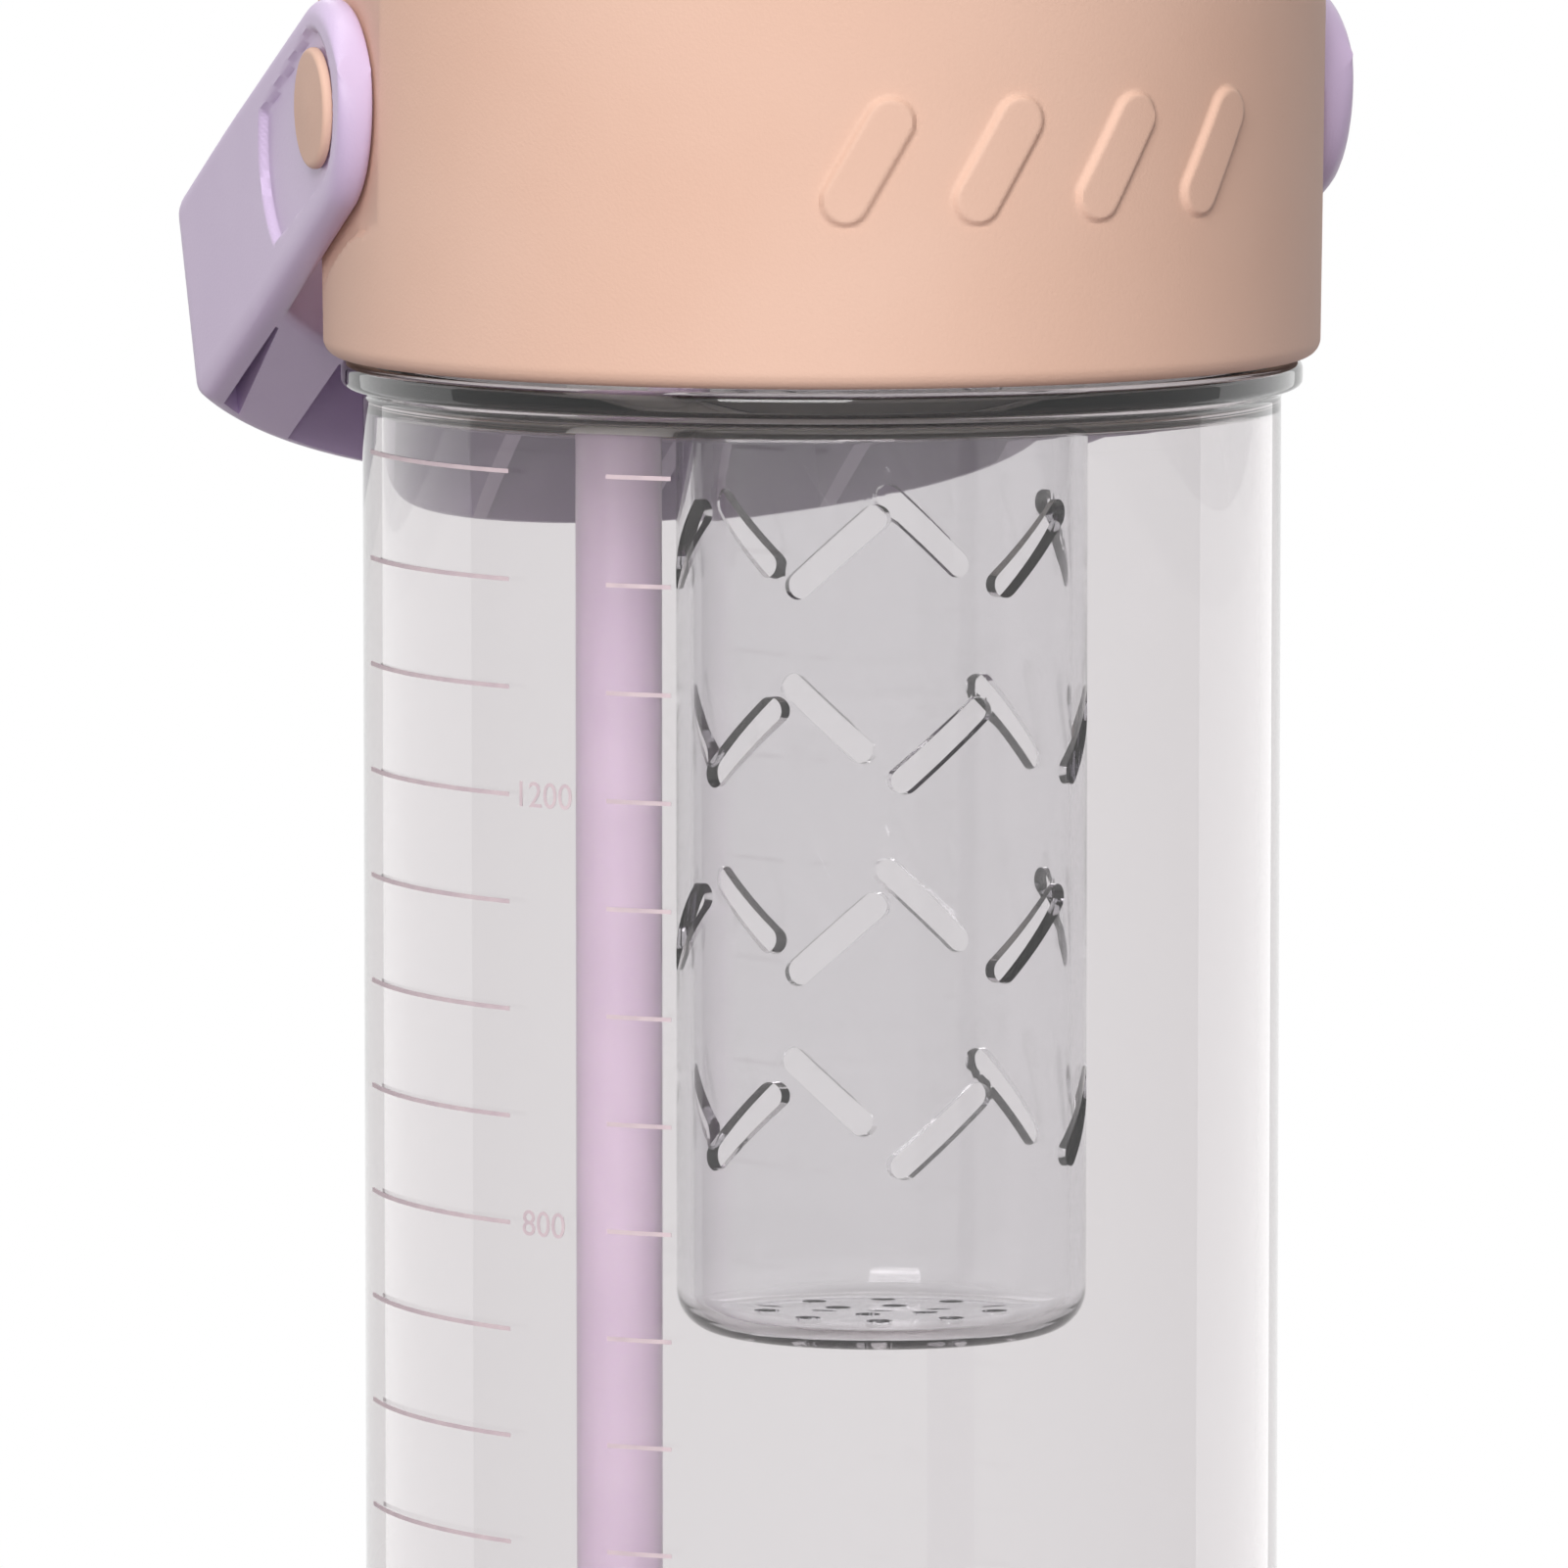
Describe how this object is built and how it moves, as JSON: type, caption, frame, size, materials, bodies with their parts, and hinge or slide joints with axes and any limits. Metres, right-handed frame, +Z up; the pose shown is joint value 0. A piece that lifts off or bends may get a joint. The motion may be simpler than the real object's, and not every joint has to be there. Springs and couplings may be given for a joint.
{
  "type": "tea infuser bottle",
  "caption": "Clear straight-sided infuser bottle with a screw lid, a swinging carry loop, a slotted infuser cup hung from the lid, and a straw that ends in a folding spout.",
  "frame": {"origin": "centre of the bottle's flat foot, on the surface that it stands on", "axes": "+Z up along the bottle's axis, +X along the handle's pivot axis towards the right pin, -Y towards the raised marks on the lid; the carry loop rests at +Y"},
  "size_m": [0.1238, 0.1555, 0.2726],
  "materials": {
    "clear_plastic": "clear, polished",
    "peach_plastic": "satin, finely textured",
    "lavender_plastic": "satin",
    "lavender_tube": "satin, slightly translucent",
    "milky_plastic": "satin, milky",
    "silicone": "soft, milky",
    "steel": "drawn pin"
  },
  "bodies": {
    "bottle": {"bottle_body": "clear_plastic"},
    "neck_ring": {"lid_seal": "silicone"},
    "lid": {"lid_shell": "peach_plastic", "lid_liner": "milky_plastic", "pivot_pin_right": "peach_plastic", "pivot_pin_left": "peach_plastic", "straw_adapter": "silicone", "straw_riser": "milky_plastic", "riser_seal": "silicone", "spout_well": "peach_plastic", "spout_seal": "silicone", "spout_pin_front": "steel", "spout_pin_rear": "steel", "vent_valve": "silicone"},
    "handle": {"carry_handle": "lavender_plastic"},
    "folding_spout": {"spout": "lavender_plastic", "spout_mouthpiece": "silicone"},
    "infuser_ring": {"infuser_seal": "silicone"},
    "infuser": {"infuser_basket": "clear_plastic"},
    "straw_tube": {"straw": "lavender_tube"}
  },
  "joints": [
    {"name": "lid_lift", "type": "slide", "parent": "bottle", "child": "neck_ring", "axis": [0, 0, 1], "range_m": [0, 0.245]},
    {"name": "lid_turn", "type": "hinge", "parent": "neck_ring", "child": "lid", "pos_m": [0, 0, 0.2383], "axis": [0, 0, 1], "range_deg": [0, 450]},
    {"name": "handle_swing", "type": "hinge", "parent": "lid", "child": "handle", "pos_m": [0, 0, 0.2495], "axis": [1, 0, 0], "range_deg": [0, 193.5]},
    {"name": "spout_flip", "type": "hinge", "parent": "lid", "child": "folding_spout", "pos_m": [-0.0245, 0, 0.2655], "axis": [0, -1, 0], "range_deg": [0, 90]},
    {"name": "infuser_drop", "type": "slide", "parent": "lid", "child": "infuser_ring", "axis": [0, 0, -1], "range_m": [0, 0.09]},
    {"name": "infuser_turn", "type": "hinge", "parent": "infuser_ring", "child": "infuser", "pos_m": [0.0073, 0, 0.236], "axis": [0, 0, 1], "range_deg": [0, 90]},
    {"name": "straw_pull", "type": "slide", "parent": "lid", "child": "straw_tube", "axis": [0, 0, -1], "range_m": [0, 0.009]}
  ]
}
